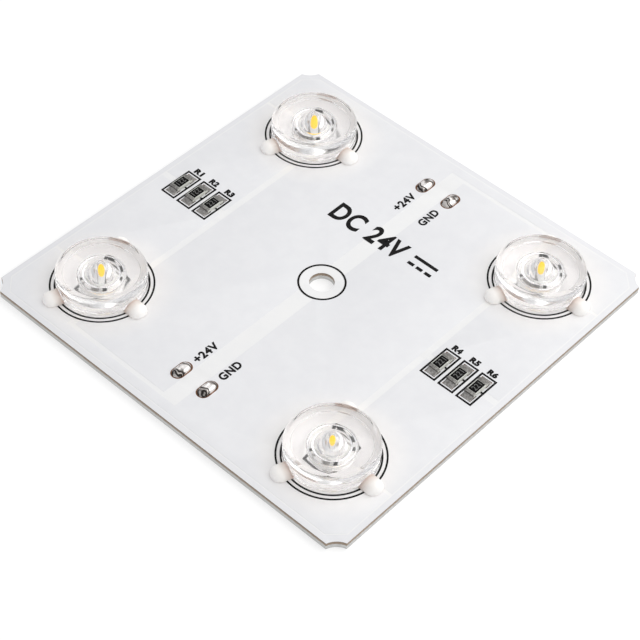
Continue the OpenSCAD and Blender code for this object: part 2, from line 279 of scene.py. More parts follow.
# %% [markdown]
# ## The cut edge
# Panels are sheared from a large sheet, and the cut drags brown resin down over the upper part
# of the metal. On the plate's finish that is a band by height: above it the colour turns to the
# resin's and the metal's gloss goes.

# %% Smear resin over the upper part of the plate's edge
SMEAR_LOW, SMEAR_HIGH, SMEAR_RAGGED = 0.62 * MM, 0.74 * MM, 0.05 * MM
RESIN = (0.37, 0.275, 0.20, 1)
COLOUR_A, COLOUR_B, COLOUR_MIXED = 6, 7, 2


def tinted(tree, share, colour, blend="MIX"):
    """Blends a colour into the base colour of a finish, by a share from 0 to 1."""
    base = tree.nodes["Principled BSDF"].inputs["Base Color"]
    sources = {"Factor": share, COLOUR_A: base.links[0].from_socket, COLOUR_B: colour}
    mix = add_node(tree, "ShaderNodeMix", sources, data_type="RGBA", blend_type=blend)
    tree.links.new(mix.outputs[COLOUR_MIXED], base)


tree = aluminium.node_tree
height = parts(tree, object_place(tree))["Z"]
wobble = spread(tree, grain(tree, 0.6), -SMEAR_RAGGED, SMEAR_RAGGED)
smear = mapped(tree, sums(tree, "ADD", height, wobble), SMEAR_LOW, SMEAR_HIGH)
tinted(tree, smear, RESIN)
put_on(tree.nodes["Principled BSDF"], Metallic=sums(tree, "SUBTRACT", 1.0, smear))
print("resin smear above", SMEAR_LOW / MM, "mm")

# %% [markdown]
# ## A glow round the lenses
# The lenses throw light on the board around them, so the lacquer looks a little brighter and
# warmer there. A renderer finds such light slowly and with much noise, so the lacquer itself is
# lightened in a soft ring instead. The four lenses sit at mirrored places, so the absolute value
# of a place folds all four onto one.

# %% Lighten the lacquer round the lenses
GLOW_NEAR, GLOW_FAR = 7.5 * MM, 11.5 * MM
GLOW = (1.085, 1.068, 1.04, 1)


def from_lens(tree, place, level):
    """The distance of a place from the point at this level on the nearest lens's axis."""
    axis = (abs(lens_places[0].x), abs(lens_places[0].y), level)
    folded = vectors(tree, "ABSOLUTE", place)["Vector"]
    return vectors(tree, "DISTANCE", folded, axis)["Value"]


for lacquer in (mask_on_foil, mask_on_strip):
    tree = lacquer.node_tree
    apart = from_lens(tree, object_place(tree), z_mask)
    share = mapped(tree, apart, GLOW_NEAR, GLOW_FAR, 1.0, 0.0, interpolation_type="SMOOTHSTEP")
    tinted(tree, share, GLOW, "MULTIPLY")
print("glow from", GLOW_NEAR / MM, "to", GLOW_FAR / MM, "mm round", len(lens_places), "lenses")

# %% [markdown]
# ## Layers that keep their CAD shape
# The plate, the insulation and the foil are flat sheets with cut edges. Their CAD meshes are
# already right for that, so they only change their finish.

# %% Dress the flat layers


def dress(node, material):
    """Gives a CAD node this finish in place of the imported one."""
    finishes = nodes[node].data.materials
    finishes.clear()
    finishes.append(material)


flat_layers = {"aluminium_base": aluminium, "dielectric_layer": insulation, "copper_foil": copper}
for node, material in flat_layers.items():
    dress(node, material)
print("layers dressed:", len(flat_layers))

# %% [markdown]
# ## The mask swells over the foil
# The lacquer is laid over the etched foil, so it stands a little proud wherever there is copper
# and sinks into the bare strips. That step makes the strips readable in slanting light. It
# could be a bump map, but then the edge has no real slope in a close view. Here the foil's own
# outlines are read from the frame, drawn as flat curves and filled with a rounded edge. The pads
# are then cut out of the result.

# %% Outlines of a layer, from its CAD mesh
PAD_SPAN = 3 * MM


def outlines(node):
    """The closed outlines of a flat layer's top face, as lists of points."""
    bm = bmesh.new()
    bm.from_mesh(nodes[node].data)
    bmesh.ops.remove_doubles(bm, verts=bm.verts, dist=WELD)
    top = max(v.co.z for v in bm.verts)
    flat = dict.fromkeys(f for f in bm.faces if min(v.co.z for v in f.verts) > top - WELD)
    following = {}
    for face in flat:
        for corner in face.loops:
            if sum(f in flat for f in corner.edge.link_faces) == 1:
                following[corner.vert] = corner.link_loop_next.vert
    found = []
    while following:
        start, vert = following.popitem()
        loop = [start.co.xy]
        while vert is not start:
            loop.append(vert.co.xy)
            vert = following.pop(vert)
        found.append([Vector(p) for p in loop])
    bm.free()
    return found


def span(loop):
    return max(p.x for p in loop) - min(p.x for p in loop)


foil_loops = outlines("copper_foil")
mask_loops = outlines("solder_mask")
pad_loops = [loop for loop in mask_loops if span(loop) < PAD_SPAN]
print("foil outlines:", len(foil_loops), "mask openings:", len(pad_loops), "of", len(mask_loops))

# %% Fill outlines into sheets
STEP = 0.022 * MM
LOW_SINK, LOW_EDGE, LOW_INSET = 0.02 * MM, 0.004 * MM, 0.0045 * MM
HIGH_LIFT, HIGH_EDGE = 0.002 * MM, 0.010 * MM


def sheet_from(name, loops, low, high, edge, inset=0.0):
    """A flat sheet between two levels, with a rounded edge of this radius, drawn in by the inset."""
    curve = bpy.data.curves.new(name, "CURVE")
    curve.dimensions = "2D"
    curve.fill_mode = "BOTH"
    curve.extrude = (high - low) / 2 - edge
    curve.bevel_depth = edge
    curve.offset = -inset
    curve.bevel_resolution = 2
    for loop in loops:
        line = curve.splines.new("POLY")
        line.points.add(len(loop) - 1)
        for point, place in zip(line.points, loop):
            point.co = (place.x, place.y, 0, 1)
        line.use_cyclic_u = True
    mesh = baked(show(name, curve))
    mesh.transform(Matrix.Translation((0, 0, (low + high) / 2)))
    bm = bmesh.new()
    bm.from_mesh(mesh)
    bpy.data.meshes.remove(mesh)
    return mesh_of(bm, name, 40)


low_sheet = sheet_from("mask_low", mask_loops, z_foil - LOW_SINK, z_mask - STEP, LOW_EDGE, LOW_INSET)
high_sheet = sheet_from("mask_high", foil_loops, z_foil + HIGH_LIFT, z_mask, HIGH_EDGE)
print("mask sheets:", len(low_sheet.polygons), "and", len(high_sheet.polygons), "faces")

# %% [markdown]
# ## The border
# Outside the foil the lacquer lies on bare resin again, and there it has the same tone as over the
# foil. A thin bright line along the step is a painted highlight: the strips' pale tone is kept in a
# narrow band there for the light that the step catches. The foil's own outline says where that is,
# and two distances fold the square with cut corners into one test.

# %% Tone the border
STEP_HIGHLIGHT_WIDTH, BORDER_SOFT = 0.16 * MM, 0.05 * MM
BORDER_TONE = (0.785, 0.785, 0.803, 1)
foil_edge = max(p.x for loop in foil_loops for p in loop)
foil_corner = max(p.x + p.y for loop in foil_loops for p in loop)
tree = mask_on_strip.node_tree
folded = vectors(tree, "ABSOLUTE", object_place(tree))["Vector"]
part = parts(tree, folded)
past_edge = sums(tree, "SUBTRACT", sums(tree, "MAXIMUM", part["X"], part["Y"]), foil_edge)
past_corner = sums(tree, "SUBTRACT", sums(tree, "ADD", part["X"], part["Y"]), foil_corner)
past_foil = sums(tree, "MAXIMUM", past_edge, past_corner)
# Painted highlight: the pale tone stays in a thin line along the step; past it the border takes the foil's
# tone.
tinted(tree, mapped(tree, past_foil, STEP_HIGHLIGHT_WIDTH, STEP_HIGHLIGHT_WIDTH + BORDER_SOFT), BORDER_TONE)
print("foil ends at", round(foil_edge / MM, 2), "mm; corner sum", round(foil_corner / MM, 2), "mm")

# %% Cut the pads out of the raised sheet
CUT_MARGIN = 0.5 * MM


def skin(bm, rows, closed=False):
    """Lays faces between rows of points; closed rows also join their ends."""
    for one, two in zip(rows, rows[1:]):
        for k in range(len(one) if closed else len(one) - 1):
            j = (k + 1) % len(one)
            bm.faces.new((one[k], one[j], two[j], two[k]))


def prism(bm, loop, low, high):
    """A closed upright block on an outline, between two levels."""
    rings = [[bm.verts.new((p.x, p.y, z)) for p in loop] for z in (low, high)]
    for ring in rings:
        bm.faces.new(ring)
    skin(bm, rings, closed=True)


bm = bmesh.new()
for loop in pad_loops:
    prism(bm, loop, z_foil - CUT_MARGIN, z_mask + CUT_MARGIN)
cutter = show("pad_cutter", mesh_of(bm, "pad_cutter"))
raised = show("mask_raised", high_sheet, mask_on_foil)
cut = raised.modifiers.new("pads", "BOOLEAN")
cut.operation = "DIFFERENCE"
cut.solver = "EXACT"
cut.object = cutter
raised = show("mask_over_foil", baked(raised))
bpy.data.objects.remove(cutter)
smooth(raised.data, 40)
low_piece = show("mask_over_strips", low_sheet, mask_on_strip)
for piece in (raised, low_piece):
    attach(piece, "root")
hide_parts("solder_mask")
print("mask over foil:", len(raised.data.polygons), "faces")

# %% [markdown]
# ## Printed words
# The board names its parts in black ink: a number beside each resistor and the polarity
# beside each wire pad. Text objects give the letters, which become meshes fitted to the boxes
# that the words fill. The large middle field carries a plain supply mark.

# %% Make words
INK = 0.02 * MM
PLAIN_WEIGHT, LETTER_SPACING = 0.042, 1.1


def word_mesh(text, weight, thick):
    """A word as a mesh that fills a unit box, lying flat and reading along +X."""
    font = bpy.data.curves.new("word_" + text, "FONT")
    font.body = text
    font.offset = weight
    font.extrude = thick / 2
    font.resolution_u = 6
    font.space_character = LETTER_SPACING
    mesh = baked(show("word_" + text, font))
    xs = [v.co.x for v in mesh.vertices]
    ys = [v.co.y for v in mesh.vertices]
    fit = Matrix.Diagonal((1 / (max(xs) - min(xs)), 1 / (max(ys) - min(ys)), 1, 1))
    mesh.transform(fit @ Matrix.Translation((-(max(xs) + min(xs)) / 2, -(max(ys) + min(ys)) / 2, 0)))
    return mesh


def word(text, x, y, turn, weight=PLAIN_WEIGHT, level=z_mask, thick=INK):
    """A word in the box x, y, both (low, high) in millimetres, turned by this many degrees."""
    mesh = word_mesh(text, weight, thick)
    wide, tall = (x[1] - x[0]) * MM, (y[1] - y[0]) * MM
    if turn % 180:
        wide, tall = tall, wide
    place = Matrix.Translation(((x[0] + x[1]) / 2 * MM, (y[0] + y[1]) / 2 * MM, level + thick / 2))
    turned = Matrix.Rotation(math.radians(turn), 4, "Z")
    mesh.transform(place @ turned @ Matrix.Diagonal((wide, tall, 1, 1)))
    return mesh


# %% Print words, in millimetres on the board
NUMBER_X, NUMBER_WIDE, NUMBER_Y = (-28.7, -25.57, -22.44, 21.0, 24.1, 27.2), 1.55, (3.1, 4.15)
NUMBER_WEIGHT, MARK_WEIGHT = 0.068, 0.03
PLUS_X, GROUND_X, PAD_WORDS_Y = (-3.0, -1.65), (1.65, 3.0), ((-22.7, -18.5), (18.2, 22.4))
GROUND_LOW, GROUND_HIGH = 0.15, 0.25
MARK_X, MARK_Y = (-8.6, 4.6), (10.4, 14.0)
words = []
for i, x in enumerate(NUMBER_X, 1):
    words.append(word(f"R{i}", (x, x + NUMBER_WIDE), NUMBER_Y, 0, NUMBER_WEIGHT))
for low, high in PAD_WORDS_Y:
    words.append(word("+24V", PLUS_X, (low, high), 90))
    words.append(word("GND", GROUND_X, (low + GROUND_LOW, high - GROUND_HIGH), 90))
words.append(word("DC 24V", MARK_X, MARK_Y, 0, MARK_WEIGHT))
print("printed words:", len(words))

# %% [markdown]
# ## Printed lines
# Rings, boxes and ticks come from the CAD print. Screen-printed ink spreads a little as it dries,
# and the straight lines of the boxes gain more from that than the rings. So the outlines
# are filled again as sheets, drawn out by a small spread.

# %% Fill the printed lines
RING_SPREAD, LINE_SPREAD, LINE_EDGE = 0.018 * MM, 0.045 * MM, 0.002 * MM
RING_SPAN = 5.7 * MM
line_loops = outlines("legend_print")
rings = [loop for loop in line_loops if span(loop) > RING_SPAN]
marks = [loop for loop in line_loops if span(loop) <= RING_SPAN]
line_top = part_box("legend_print")[1].z
ring_sheet = sheet_from("rings", rings, z_mask, line_top, LINE_EDGE, -RING_SPREAD)
mark_sheet = sheet_from("board_marks", marks, z_mask, line_top, LINE_EDGE, -LINE_SPREAD)
for sheet in (ring_sheet, mark_sheet):
    lines = show("printed_" + sheet.name, sheet, ink)
    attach(lines, "root")
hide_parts("legend_print")
print("printed lines:", len(rings), "ring outlines,", len(marks), "mark outlines")

# %% Add the bars of the supply mark and join the lettering
BAR_X, BAR_Y = (6.0, 10.2), (12.75, 13.3)
DASHES_X, DASH_WIDE, DASH_Y = (6.0, 7.55, 9.1), 1.1, (11.2, 11.75)


def bar(x, y):
    """A printed bar between two x and two y values, in millimetres."""
    bm = bmesh.new()
    corners = ((x[0], y[0]), (x[1], y[0]), (x[1], y[1]), (x[0], y[1]))
    prism(bm, [Vector((a * MM, b * MM)) for a, b in corners], z_mask, z_mask + INK)
    return mesh_of(bm, "bar")


words.append(bar(BAR_X, BAR_Y))
words += [bar((x, x + DASH_WIDE), DASH_Y) for x in DASHES_X]
bm = bmesh.new()
for mesh in words:
    bm.from_mesh(mesh)
    bpy.data.meshes.remove(mesh)
lettering = show("printed_words", mesh_of(bm, "printed_words"), ink)
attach(lettering, "root")
print("lettering:", len(lettering.data.polygons), "faces")

# %% [markdown]
# ## One tree stamps what repeats
# The resistors' pieces, their figures and their solder joints repeat in one form at several
# places. A small Geometry Nodes tree does that for all of them: it takes a mesh with one vertex
# per place, sets the piece on each, turns it by the place's own angle, realizes the copies and
# gives them their finish. Copies by hand would work too, but a change then means many edits.

# %% Helpers for geometry trees


def geometry_tree(name, inputs, result):
    """A Geometry Nodes tree with named inputs and one result, and the inputs' identifiers."""
    tree = bpy.data.node_groups.new(name, "GeometryNodeTree")
    sockets = {}
    for title, kind in inputs:
        socket = tree.interface.new_socket(title, in_out="INPUT", socket_type="NodeSocket" + kind)
        sockets[title] = socket.identifier
    tree.interface.new_socket(result, in_out="OUTPUT", socket_type="NodeSocketGeometry")
    return tree, sockets


def grown(tree, kind, inputs=(), **settings):
    """Adds a geometry node and returns its first output."""
    return add_node(tree, "GeometryNode" + kind, inputs, **settings).outputs[0]


def form_of(tree, source):
    """The form of an object that the tree is given."""
    return add_node(tree, "GeometryNodeObjectInfo", {"Object": source}).outputs["Geometry"]


# %% Build the stamping tree
stamp, stamp_sockets = geometry_tree(
    "stamp_at_places", (("Places", "Geometry"), ("Piece", "Object"), ("Finish", "Material")), "Stamped")
given = add_node(stamp, "NodeGroupInput").outputs
points = grown(stamp, "MeshToPoints", {"Mesh": given["Places"]})
form = form_of(stamp, given["Piece"])
turn = grown(stamp, "InputNamedAttribute", {"Name": "turn"}, data_type="FLOAT")
about_z = add_node(stamp, "ShaderNodeCombineXYZ", {"Z": turn}).outputs["Vector"]
copies = grown(stamp, "InstanceOnPoints", {"Points": points, "Instance": form, "Rotation": about_z})
real = grown(stamp, "RealizeInstances", {"Geometry": copies})
painted = grown(stamp, "SetMaterial", {"Geometry": real, "Material": given["Finish"]})
add_node(stamp, "NodeGroupOutput", {"Stamped": painted})
print("stamping tree:", len(stamp.nodes), "nodes")

# %% Stamp a piece


def stamped(name, mesh, places, material, turns=None, replaces=(), angle=20):
    """Sets copies of a mesh at these places, turned by these angles in degrees, as one piece."""
    spots = bpy.data.meshes.new(name + "_places")
    spots.from_pydata([tuple(p) for p in places], [], [])
    turn = spots.attributes.new("turn", "FLOAT", "POINT")
    turn.data.foreach_set("value", [math.radians(t) for t in turns or [0] * len(places)])
    master = show(name + "_master", mesh)
    holder = show(name, spots)
    modifier = holder.modifiers.new("stamp", "NODES")
    modifier.node_group = stamp
    modifier[stamp_sockets["Piece"]] = master
    modifier[stamp_sockets["Finish"]] = material
    piece = show(name, baked(holder))
    bpy.data.objects.remove(master)
    smooth(piece.data, angle)
    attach(piece, "root")
    if replaces:
        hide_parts(*replaces)
    print(name, "-", len(places), "copies,", len(piece.data.polygons), "faces")
    return piece


# %% [markdown]
# ## The lens
# Each lens is clear moulded acrylic that throws the light out sideways. Its section has a
# straight wall, a round shoulder and a low dome. Below are a bullet-shaped hollow over the LED,
# a round collar about the hollow's mouth and a shallow groove that leaves only a ring near the
# board. All of that bends light, so the section has many more points here than the CAD mesh, and
# the small roundings of a mould.

# %% Section of the lens, in millimetres
LENS_R, WALL_H, SHOULDER, DOME_RISE, SKIN = 6.45, 2.0, 0.8, 1.4, 0.47
BULLET_R, BULLET_STEPS, FOOT_R, FOOT_H = 1.75, 26, 2.15, 0.48
COLLAR_MID, COLLAR_R, COLLAR_H = 2.5, 0.35, 0.23
GROOVE_R, GROOVE_H, GROOVE_FILLET, GROOVE_SLANT, STAND_ROUND = 4.9, 0.58, 0.3, 0.05, 0.08


def arc(x, z, r, start, end, steps):
    """Points on an arc round (x, z), between two angles in degrees."""
    angles = [math.radians(start + (end - start) * k / steps) for k in range(steps + 1)]
    return [(x + r * math.cos(a), z + r * math.sin(a)) for a in angles]


def lens_section():
    """Half the section as (radius, height), from the hollow's tip to the top."""
    rim, top = LENS_R - SHOULDER, WALL_H + SHOULDER + DOME_RISE
    shares = [k / BULLET_STEPS for k in range(BULLET_STEPS + 1)]
    hollow = [(BULLET_R * s, FOOT_H + (top - SKIN - FOOT_H) * (1 - s ** 2)) for s in shares]
    collar = [(FOOT_R, FOOT_H)] + arc(COLLAR_MID, COLLAR_H, COLLAR_R, 180, 360, 12)
    fillet_mid = (COLLAR_MID + COLLAR_R + GROOVE_FILLET, GROOVE_H - GROOVE_FILLET)
    groove = arc(*fillet_mid, GROOVE_FILLET, 180, 90, 6) + [(GROOVE_R, GROOVE_H)]
    foot = arc(LENS_R - STAND_ROUND, STAND_ROUND, STAND_ROUND, -90, 0, 4)
    stand = [(GROOVE_R + GROOVE_SLANT, 0)] + foot
    shoulder = arc(rim, WALL_H, SHOULDER, 0, 90, 14)
    dome_r = (rim * rim + DOME_RISE * DOME_RISE) / (2 * DOME_RISE)
    slope = math.degrees(math.asin(rim / dome_r))
    dome = arc(0, top - dome_r, dome_r, 90 - slope, 90, 30)[1:]
    return hollow + collar + groove + stand + shoulder + dome


lens_low, lens_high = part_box("lens_1")
z_lens = lens_high.z - (WALL_H + SHOULDER + DOME_RISE) * MM
section_points = [(r * MM, 0, z * MM) for r, z in lens_section()]
section_lines = [(k, k + 1) for k in range(len(section_points) - 1)]
section_mesh = bpy.data.meshes.new("lens_section")
section_mesh.from_pydata(section_points, section_lines, [])
print("lens section:", len(section_points), "points;",
      "underside", round((z_lens - z_mask) / MM, 2), "mm above the mask")

# %% [markdown]
# ## The ears
# Three frosted ears hold a lens up and are glued to the board. An ear is half of a round bar
# with a ball-like end, so one curved profile, swept through half a turn, gives it. A metaball
# would be softer, but its size is hard to set.

# %% Ears of the lens, in millimetres and degrees
EAR_R, EAR_REACH, EAR_ROOT, EAR_ROUND = 1.35, 8.75, 5.95, 1.2
EAR_ANGLES = (250.5, 357.5, 117)
BAR_STEPS, END_STEPS, SWEEP_STEPS = 8, 14, 32
ear_foot = (lens_low.z - z_lens) / MM


def ear(bm, direction):
    """A half-round bar with a rounded end, pointing along the direction."""
    bar_end = EAR_REACH - EAR_ROUND
    straight = [(EAR_ROOT + (bar_end - EAR_ROOT) * k / BAR_STEPS, EAR_R) for k in range(BAR_STEPS)]
    corner = arc(bar_end, EAR_R - EAR_ROUND, EAR_ROUND, 90, 0, END_STEPS)
    profile = straight + corner + [(EAR_REACH, 0)]
    turn = Matrix.Rotation(math.radians(direction), 3, "Z")
    rows = []
    for k in range(SWEEP_STEPS + 1):
        a = math.pi * k / SWEEP_STEPS
        places = [Vector((x, r * math.cos(a), ear_foot + r * math.sin(a))) * MM for x, r in profile]
        rows.append([bm.verts.new(turn @ place) for place in places])
    skin(bm, rows)
    bm.faces.new(rows[0] + rows[-1][::-1])
    bm.faces.new([row[0] for row in rows])


bm = bmesh.new()
for direction in EAR_ANGLES:
    ear(bm, direction)
ears_mesh = mesh_of(bm, "lens_ears", 30)
print("ears:", len(ears_mesh.polygons), "faces, foot at", round(ear_foot, 2), "mm")

# %% [markdown]
# ## Finish of the clear parts
# The dome and the hollow are polished, because they steer the light. The outer wall slides along
# the mould as it comes out, and the mould isn't polished below, so both carry a slight haze. Haze
# is roughness here, set by height and by the distance from the lens's axis. It fades out over the
# shoulder and just outside the hollow.

# %% Clear acrylic
ACRYLIC_IOR = 1.49
WALL_HAZE, WALL_FROM, WALL_TO = 0.10, LENS_R - 0.6, LENS_R - 0.1
UNDERSIDE_HAZE, UNDERSIDE_FROM, UNDERSIDE_TO = 0.12, GROOVE_H + 0.02, GROOVE_H + 0.1
HOLLOW_FROM, HOLLOW_TO = 2.1, 2.3
clear = finish(
    "clear_acrylic", (0.985, 0.974, 0.97), (0.995, 0.987, 0.984), 1.5, (0.0, 0.02),
    IOR=ACRYLIC_IOR, Transmission_Weight=0.98)
tree = clear.node_tree
place = object_place(tree)
apart = from_lens(tree, vectors(tree, "MULTIPLY", place, (1, 1, 0))["Vector"], 0)
height = parts(tree, place)["Z"]
outer = mapped(tree, apart, WALL_FROM * MM, WALL_TO * MM)
wall_top, shoulder_top = z_lens + WALL_H * MM, z_lens + (WALL_H + SHOULDER) * MM
on_wall = sums(tree, "MULTIPLY", outer, mapped(tree, height, wall_top, shoulder_top, WALL_HAZE, 0.0))
past_hollow = mapped(tree, apart, HOLLOW_FROM * MM, HOLLOW_TO * MM)
below = mapped(tree, height, z_lens + UNDERSIDE_FROM * MM, z_lens + UNDERSIDE_TO * MM, UNDERSIDE_HAZE, 0.0)
haze = sums(tree, "MAXIMUM", on_wall, sums(tree, "MULTIPLY", past_hollow, below))
roughness = tree.nodes["Principled BSDF"].inputs["Roughness"]
tree.links.new(sums(tree, "MAXIMUM", roughness.links[0].from_socket, haze), roughness)
print("clear acrylic with", WALL_HAZE, "haze on the wall and", UNDERSIDE_HAZE, "below")

# %% [markdown]
# ## Finish of the ears
# The ears come from a rough part of the mould, so they scatter light and look milky. Their colour is
# darker and warmer where they meet the wall: painted shade of that crease, with warm light from the
# lens painted in. The lens's node tree stores how far out a point is, as "reach", and this finish
# turns that into colour. Light piped out of the lens leaves at the ears, which a small part of
# emission stands for as painted light.

# %% Milky acrylic
frosted, tree, shader = empty_finish("milky_acrylic")
reach = add_node(tree, "ShaderNodeAttribute", attribute_name="reach").outputs["Fac"]
# Painted shade and warm painted light near the wall: the colour darkens and warms as reach falls to 0.
milk_and_root_shade = ramp(tree, reach, [
    (0.0, (0.48, 0.35, 0.29)), (0.18, (0.68, 0.595, 0.545)),
    (0.5, (0.84, 0.81, 0.78)), (1.0, (0.92, 0.905, 0.885))])
# The small emission is painted light: the ears glow a little.
put_on(
    shader, Base_Color=milk_and_root_shade, Roughness=spread(tree, grain(tree, 0.5), 0.3, 0.42), IOR=ACRYLIC_IOR,
    Subsurface_Weight=0.5, Subsurface_Radius=(1.0, 0.95, 0.9), Subsurface_Scale=1.2 * MM,
    Emission_Color=(1.0, 0.94, 0.90, 1), Emission_Strength=0.09)
print("ear finish:", len(tree.nodes), "nodes")

# %% [markdown]
# ## A tree turns the lens
# A lens is a rule rather than a form: its section, swept once round the axis. The tree lays a
# grid with a row per section point and a column per step of the turn, looks up each point and
# swings it round by its column. The ears are joined with a union, because clear bodies that only
# overlap would bend the light twice. Then four copies are set in place.

# %% Build the turning tree
turning, lens_sockets = geometry_tree("turn_lenses", (
    ("Places", "Geometry"), ("Section", "Object"), ("Ears", "Object"), ("Around", "Int"),
    ("Wall", "Float"), ("Reach", "Float"), ("Clear finish", "Material"),
    ("Ear finish", "Material")), "Lenses")
given = add_node(turning, "NodeGroupInput").outputs
outline = form_of(turning, given["Section"])
size = grown(turning, "AttributeDomainSize", {"Geometry": outline})
columns = sums(turning, "ADD", given["Around"], 1)
sheet = grown(turning, "MeshGrid", {
    "Size X": 1.0, "Size Y": 1.0, "Vertices X": size, "Vertices Y": columns})
spot = grown(turning, "InputPosition")
across_sheet = parts(turning, spot)
from_tip, from_seam = (sums(turning, "ADD", across_sheet[letter], 0.5) for letter in "XY")
last_row = sums(turning, "SUBTRACT", size, 1)
row = sums(turning, "ROUND", sums(turning, "MULTIPLY", from_tip, last_row))
found = grown(turning, "SampleIndex", {
    "Geometry": outline, "Value": spot, "Index": row}, data_type="FLOAT_VECTOR")
swing = sums(turning, "MULTIPLY", from_seam, 2 * math.pi)
swung = add_node(turning, "ShaderNodeVectorRotate", {
    "Vector": found, "Angle": swing}, rotation_type="Z_AXIS").outputs[0]
laid = grown(turning, "SetPosition", {"Geometry": sheet, "Position": swung})
closed = grown(turning, "MergeByDistance", {"Geometry": laid, "Distance": WELD})
outward = grown(turning, "FlipFaces", {"Mesh": closed})
print("turning tree:", len(turning.nodes), "nodes for the body")

# %% Join the ears and note the reach
CREASE, ON_EAR = math.radians(35), 0.004
union = add_node(turning, "GeometryNodeMeshBoolean", operation="UNION", solver="EXACT")
for part in (outward, form_of(turning, given["Ears"])):
    turning.links.new(part, union.inputs["Mesh 2"])
flat = vectors(turning, "MULTIPLY", spot, (1, 1, 0))["Vector"]
radius = vectors(turning, "LENGTH", flat)["Value"]
reach = mapped(turning, radius, given["Wall"], given["Reach"])
noted = grown(turning, "StoreNamedAttribute", {
    "Geometry": union.outputs["Mesh"], "Name": "reach", "Value": reach},
    data_type="FLOAT", domain="POINT")
rounded = grown(turning, "SetShadeSmooth", {"Geometry": noted, "Shade Smooth": True}, domain="FACE")
bend = grown(turning, "InputMeshEdgeAngle")
sharp = sums(turning, "GREATER_THAN", bend, CREASE)
edged = grown(turning, "SetShadeSmooth", {
    "Geometry": rounded, "Selection": sharp, "Shade Smooth": False}, domain="EDGE")
print("turning tree:", len(turning.nodes), "nodes with the ears")

# %% Set the lenses in place and give them their finishes
spots = grown(turning, "MeshToPoints", {"Mesh": given["Places"]})
four = grown(turning, "InstanceOnPoints", {"Points": spots, "Instance": edged})
real = grown(turning, "RealizeInstances", {"Geometry": four})
all_clear = grown(turning, "SetMaterial", {"Geometry": real, "Material": given["Clear finish"]})
how_far = grown(turning, "InputNamedAttribute", {"Name": "reach"}, data_type="FLOAT")
on_ear = sums(turning, "GREATER_THAN", how_far, ON_EAR)
done = grown(turning, "SetMaterial", {
    "Geometry": all_clear, "Selection": on_ear, "Material": given["Ear finish"]})
add_node(turning, "NodeGroupOutput", {"Lenses": done})
print("turning tree:", len(turning.nodes), "nodes in all")

# %% Turn the four lenses
TURN_STEPS = 160
section_piece = show("lens_section", section_mesh)
ears_piece = show("lens_ears", ears_mesh)
lens_spots = bpy.data.meshes.new("lens_spots")
lens_spots.from_pydata([(p.x, p.y, z_lens) for p in lens_places], [], [])
holder = show("clear_lenses", lens_spots)
modifier = holder.modifiers.new("turn", "NODES")
modifier.node_group = turning
for title, value in (
        ("Section", section_piece), ("Ears", ears_piece), ("Around", TURN_STEPS), ("Wall", LENS_R * MM),
        ("Reach", EAR_REACH * MM), ("Clear finish", clear), ("Ear finish", frosted)):
    modifier[lens_sockets[title]] = value
lenses = show("clear_lenses", baked(holder))
for helper in (section_piece, ears_piece):
    bpy.data.objects.remove(helper)
if lenses.data.materials[0] is None:
    lenses.data.materials.pop(index=0)
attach(lenses, "root")
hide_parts(*[f"lens_{i}" for i in range(1, 5)])
print("lenses:", len(lenses.data.polygons), "faces, finishes", [m.name for m in lenses.data.materials])

# %% [markdown]
# ## LEDs
# An LED is a white moulded cup on a silvered lead frame, filled with silicone that holds the
# yellow phosphor. The CAD shapes are right for it, and the lens bends all of it, so they only
# need their finishes. Phosphor takes in blue light and gives it back as yellow, which a small
# part of emission stands for.

# %% LED finishes
led_white = finish(
    "white_reflector", (0.86, 0.86, 0.84), (0.92, 0.92, 0.90), 0.3, (0.38, 0.55),
    relief=0.004, fine=0.05)
silver = finish(
    "silver_plate", (0.72, 0.71, 0.68), (0.82, 0.81, 0.79), 0.3, (0.18, 0.32),
    relief=0.003, fine=0.05, Metallic=1.0)
sapphire = finish(
    "blue_chip", (0.10, 0.16, 0.42), (0.16, 0.24, 0.55), 0.15, (0.1, 0.2), fine=0.04)
phosphor = finish(
    "yellow_phosphor", (0.96, 0.54, 0.0), (1.0, 0.60, 0.001), 0.10, (0.35, 0.5), relief=0.006, fine=0.03,
    Specular_IOR_Level=0.2, Emission_Color=(1.0, 0.60, 0.0, 1), Emission_Strength=0.5)
glue = finish(
    "clear_glue", (0.90, 0.89, 0.86), (0.96, 0.95, 0.93), 0.4, (0.15, 0.3), relief=0.006,
    IOR=1.45, Transmission_Weight=0.6)
solder = finish(
    "dull_solder", (0.21, 0.20, 0.19), (0.40, 0.385, 0.37), 0.35, (0.24, 0.42),
    relief=0.006, fine=0.12, Metallic=1.0)
led_finishes = {
    "lens_glue": glue, "led_body": led_white, "led_leads": silver,
    "led_dice": sapphire, "led_phosphor": phosphor, "led_solder": solder}
for i in range(1, 5):
    for stem, material in led_finishes.items():
        dress(f"{stem}_{i}", material)
print("LED pieces dressed:", 4 * len(led_finishes))

# %% [markdown]
# ## Resistors
# A chip resistor is a white ceramic slab with tinned metal caps over its ends and a black glassy
# coat on top, with its value in pale figures. The CAD blocks give the sizes. Real edges are a
# little round, so each block is copied, merged and bevelled, then stamped at the six places.

# %% Soften a CAD block
FLAT_ANGLE, SHARP_ANGLE = 0.02, 0.6


def softened(node, width, segments=2):
    """A merged, bevelled copy of a CAD node's mesh, moved to the origin of its own chip."""
    bm = bmesh.new()
    bm.from_mesh(nodes[node].data)
    bmesh.ops.remove_doubles(bm, verts=bm.verts, dist=WELD)
    bmesh.ops.dissolve_limit(bm, angle_limit=FLAT_ANGLE, verts=bm.verts, edges=bm.edges)
    sharp = [e for e in bm.edges if len(e.link_faces) == 2 and e.calc_face_angle() > SHARP_ANGLE]
    bmesh.ops.bevel(bm, geom=sharp, offset=width, segments=segments, profile=0.6, affect="EDGES")
    home = chip_places[0]
    bmesh.ops.translate(bm, verts=bm.verts, vec=(-home.x, -home.y, 0))
    return mesh_of(bm, node + "_soft", 30)


